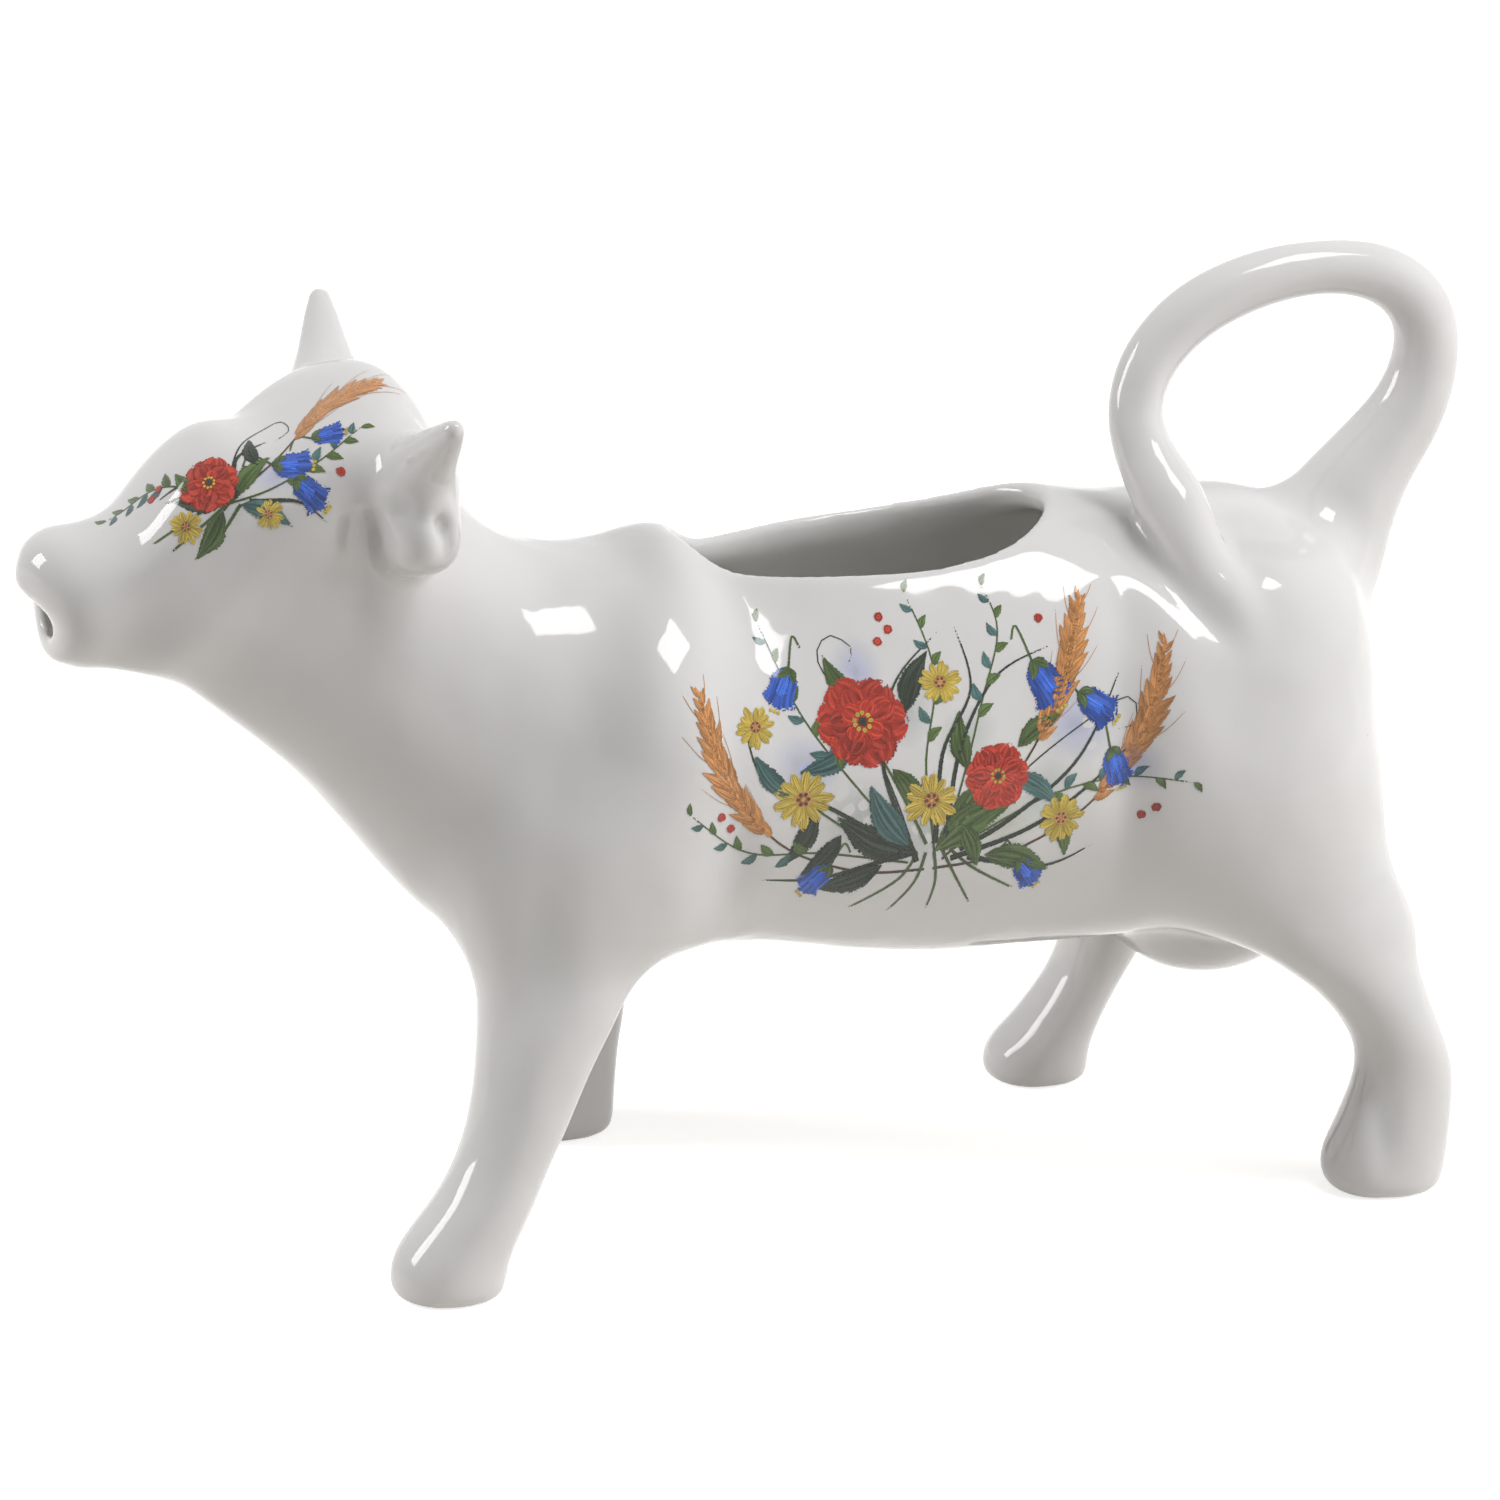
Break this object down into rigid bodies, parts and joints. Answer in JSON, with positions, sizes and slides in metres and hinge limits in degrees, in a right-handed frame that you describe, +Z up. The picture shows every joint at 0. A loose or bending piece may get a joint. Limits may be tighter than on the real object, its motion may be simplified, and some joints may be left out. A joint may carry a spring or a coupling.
{
  "type": "cow creamer",
  "caption": "Porcelain milk jug shaped like a walking cow, with a filling hole in the back, a pouring mouth and a looped tail handle.",
  "frame": {"origin": "on the table under the centre of the whole jug's bounding box; the soles stand on z = 0", "axes": "-X towards the cow's nose and +X towards its tail, -Y towards its left flank, +Z up"},
  "size_m": [0.1699, 0.0592, 0.1057],
  "materials": {
    "glazed_porcelain": "clear gloss glaze over white porcelain, with a small printed floral spray on the left flank and the brow"
  },
  "bodies": {
    "root": {"trunk_shell": "glazed_porcelain", "head_shell": "glazed_porcelain", "front_left_leg": "glazed_porcelain", "front_right_leg": "glazed_porcelain", "rear_left_leg": "glazed_porcelain", "rear_right_leg": "glazed_porcelain", "udder": "glazed_porcelain", "tail_handle": "glazed_porcelain", "left_ear": "glazed_porcelain", "right_ear": "glazed_porcelain", "left_horn": "glazed_porcelain", "right_horn": "glazed_porcelain"}
  },
  "joints": []
}
